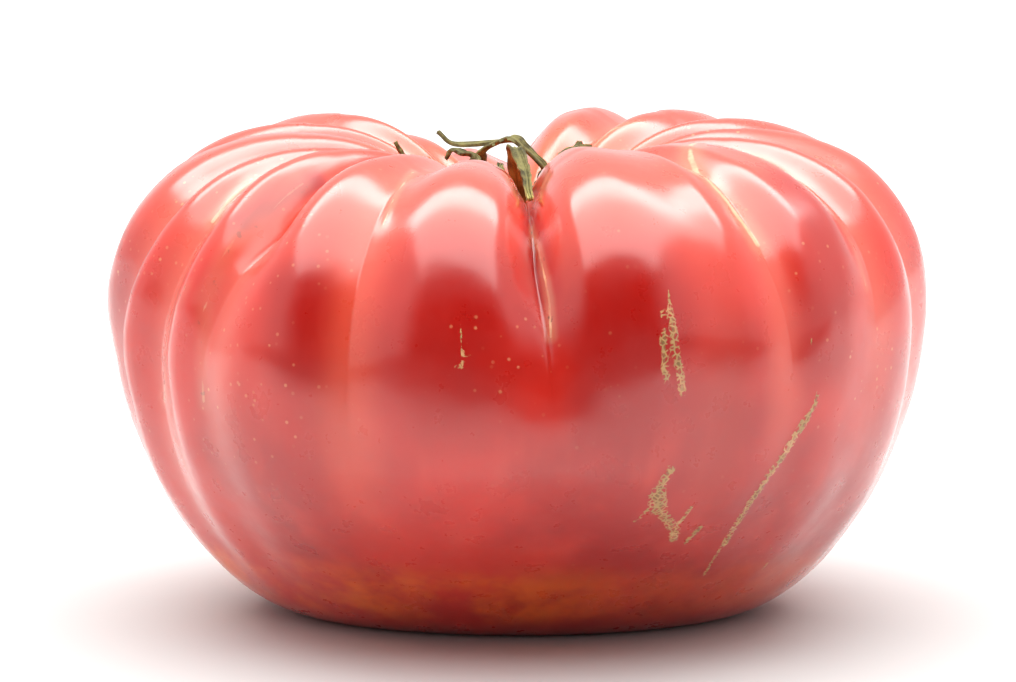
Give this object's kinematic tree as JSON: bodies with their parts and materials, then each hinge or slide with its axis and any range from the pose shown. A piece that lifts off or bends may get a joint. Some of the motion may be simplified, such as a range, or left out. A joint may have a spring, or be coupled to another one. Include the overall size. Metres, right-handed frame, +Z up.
{
  "type": "beefsteak tomato",
  "caption": "Large, flattened, deeply ribbed ripe tomato with a sunken stem cavity and a dried, curled calyx.",
  "frame": {"origin": "middle of the tomato's footprint, on the surface that it rests on", "axes": "+Z up through the stem cavity, +X along the longest side to side width, -Y towards the side with the deepest shoulder groove"},
  "size_m": [0.119, 0.1108, 0.0719],
  "materials": {
    "tomato_skin": "gloss",
    "dry_stem": "matte",
    "dry_sepal": "matte"
  },
  "bodies": {
    "root": {"fruit": "tomato_skin", "pedicel": "dry_stem", "sepal_1": "dry_sepal", "sepal_2": "dry_sepal", "sepal_3": "dry_sepal", "sepal_4": "dry_sepal", "sepal_5": "dry_sepal", "sepal_6": "dry_sepal", "sepal_7": "dry_sepal", "sepal_8": "dry_sepal"}
  },
  "joints": []
}
